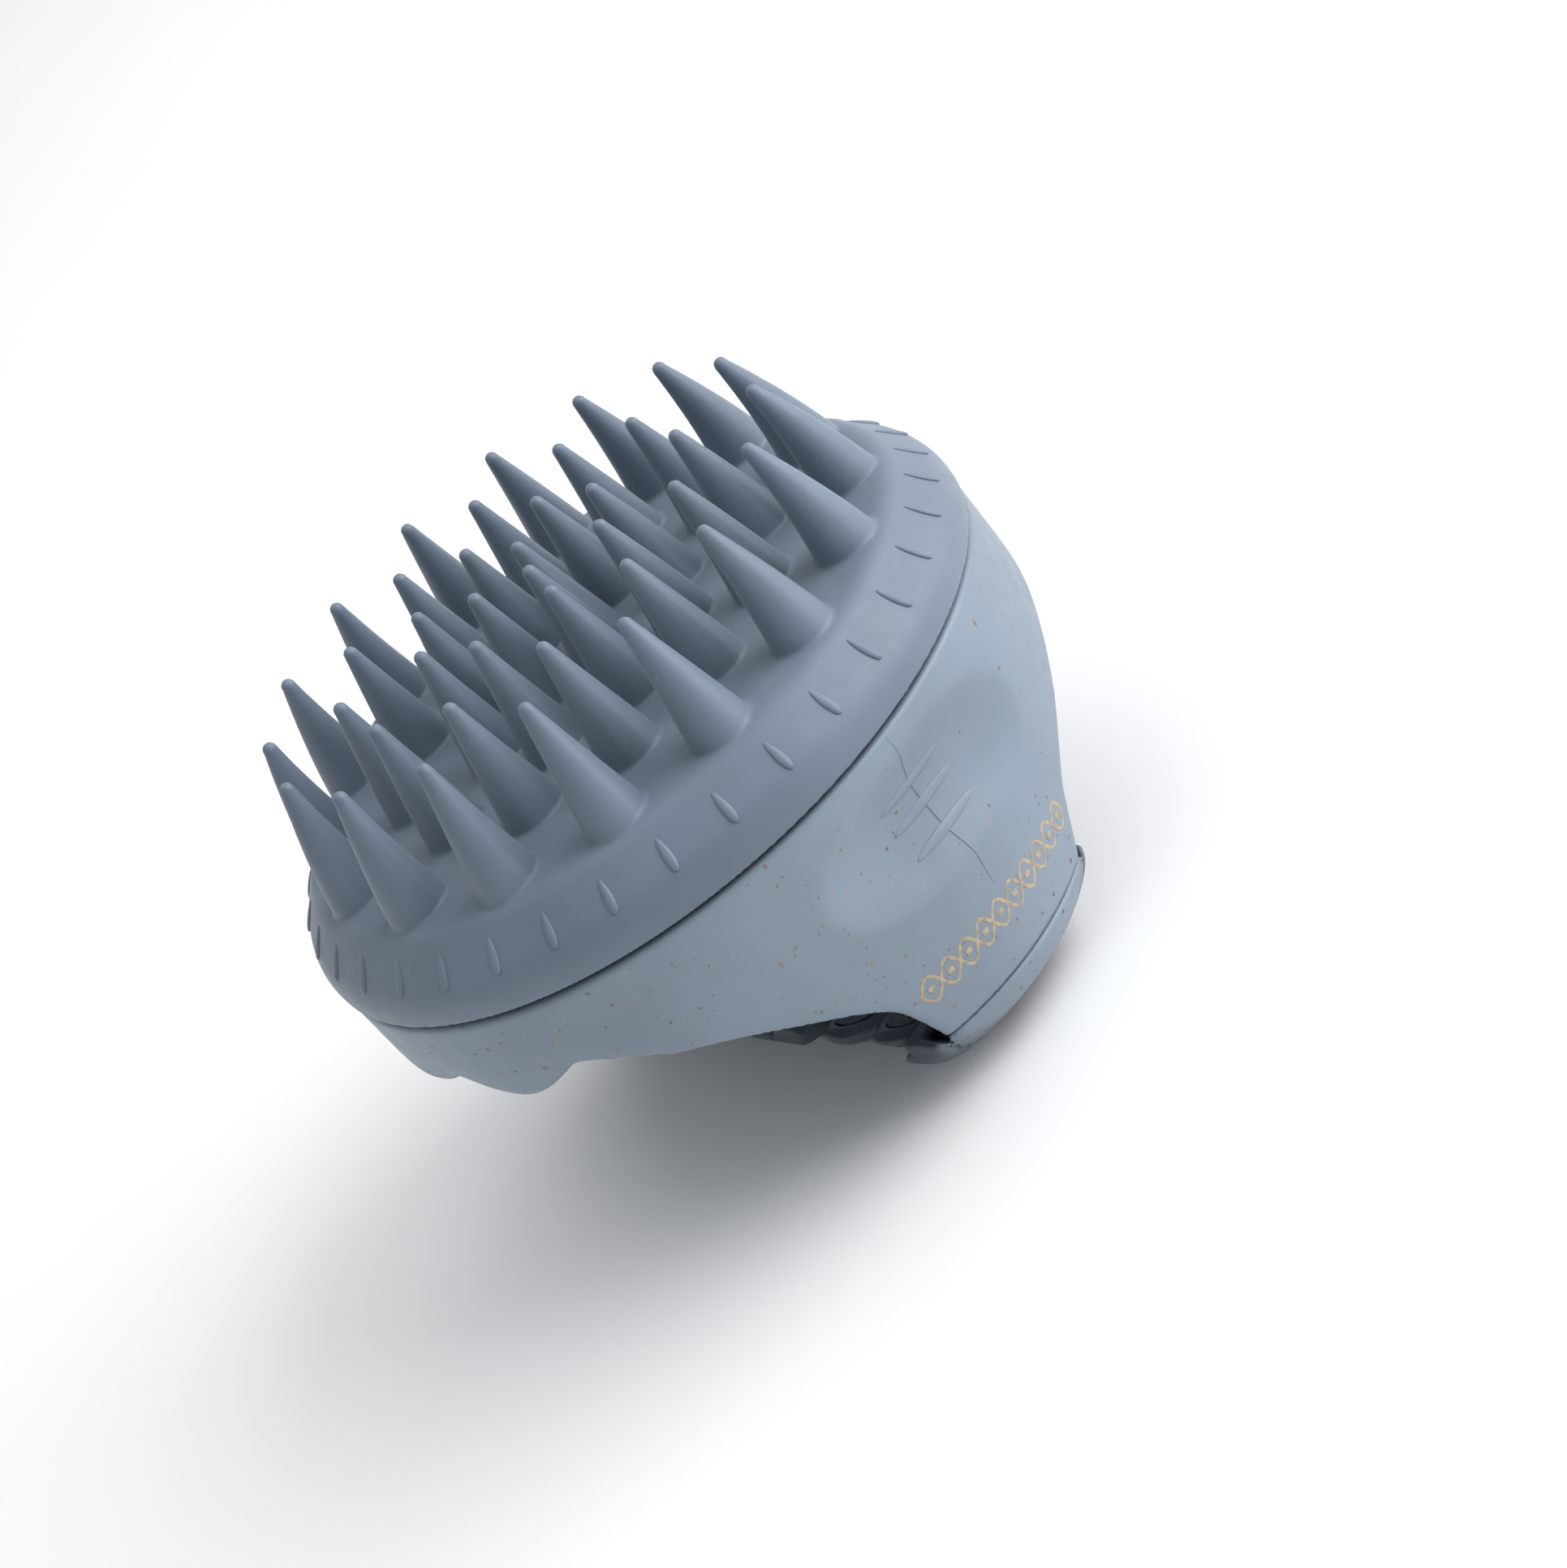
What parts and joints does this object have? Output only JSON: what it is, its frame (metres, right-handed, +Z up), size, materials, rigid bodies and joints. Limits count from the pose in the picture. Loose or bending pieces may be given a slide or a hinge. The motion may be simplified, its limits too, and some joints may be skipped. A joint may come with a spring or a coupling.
{
  "type": "scalp massager brush",
  "caption": "Hand-held scalp massager with a round pad of soft tapered bristles and a two-legged handle with a finger tunnel and palm bar.",
  "frame": {"origin": "middle of the flat foot under the palm cap, on the axis of the round head", "axes": "+Z up along the axis of the head towards the bristle tips, X from leg to leg of the handle, Y along the finger tunnel"},
  "size_m": [0.0854, 0.0854, 0.0637],
  "materials": {
    "silicone": "matte silicone",
    "handle_plastic": "satin, flecked with straw fibre",
    "grip_plastic": "satin",
    "inner_plastic": "plain moulded",
    "screw_steel": "plain zinc"
  },
  "bodies": {
    "root": {"bristle_pad": "silicone", "bristles": "silicone", "backing_plate": "inner_plastic", "plate_screws": "screw_steel", "handle_shell": "handle_plastic", "finger_grip": "grip_plastic", "palm_cap": "handle_plastic", "cap_screws": "screw_steel"}
  },
  "joints": []
}
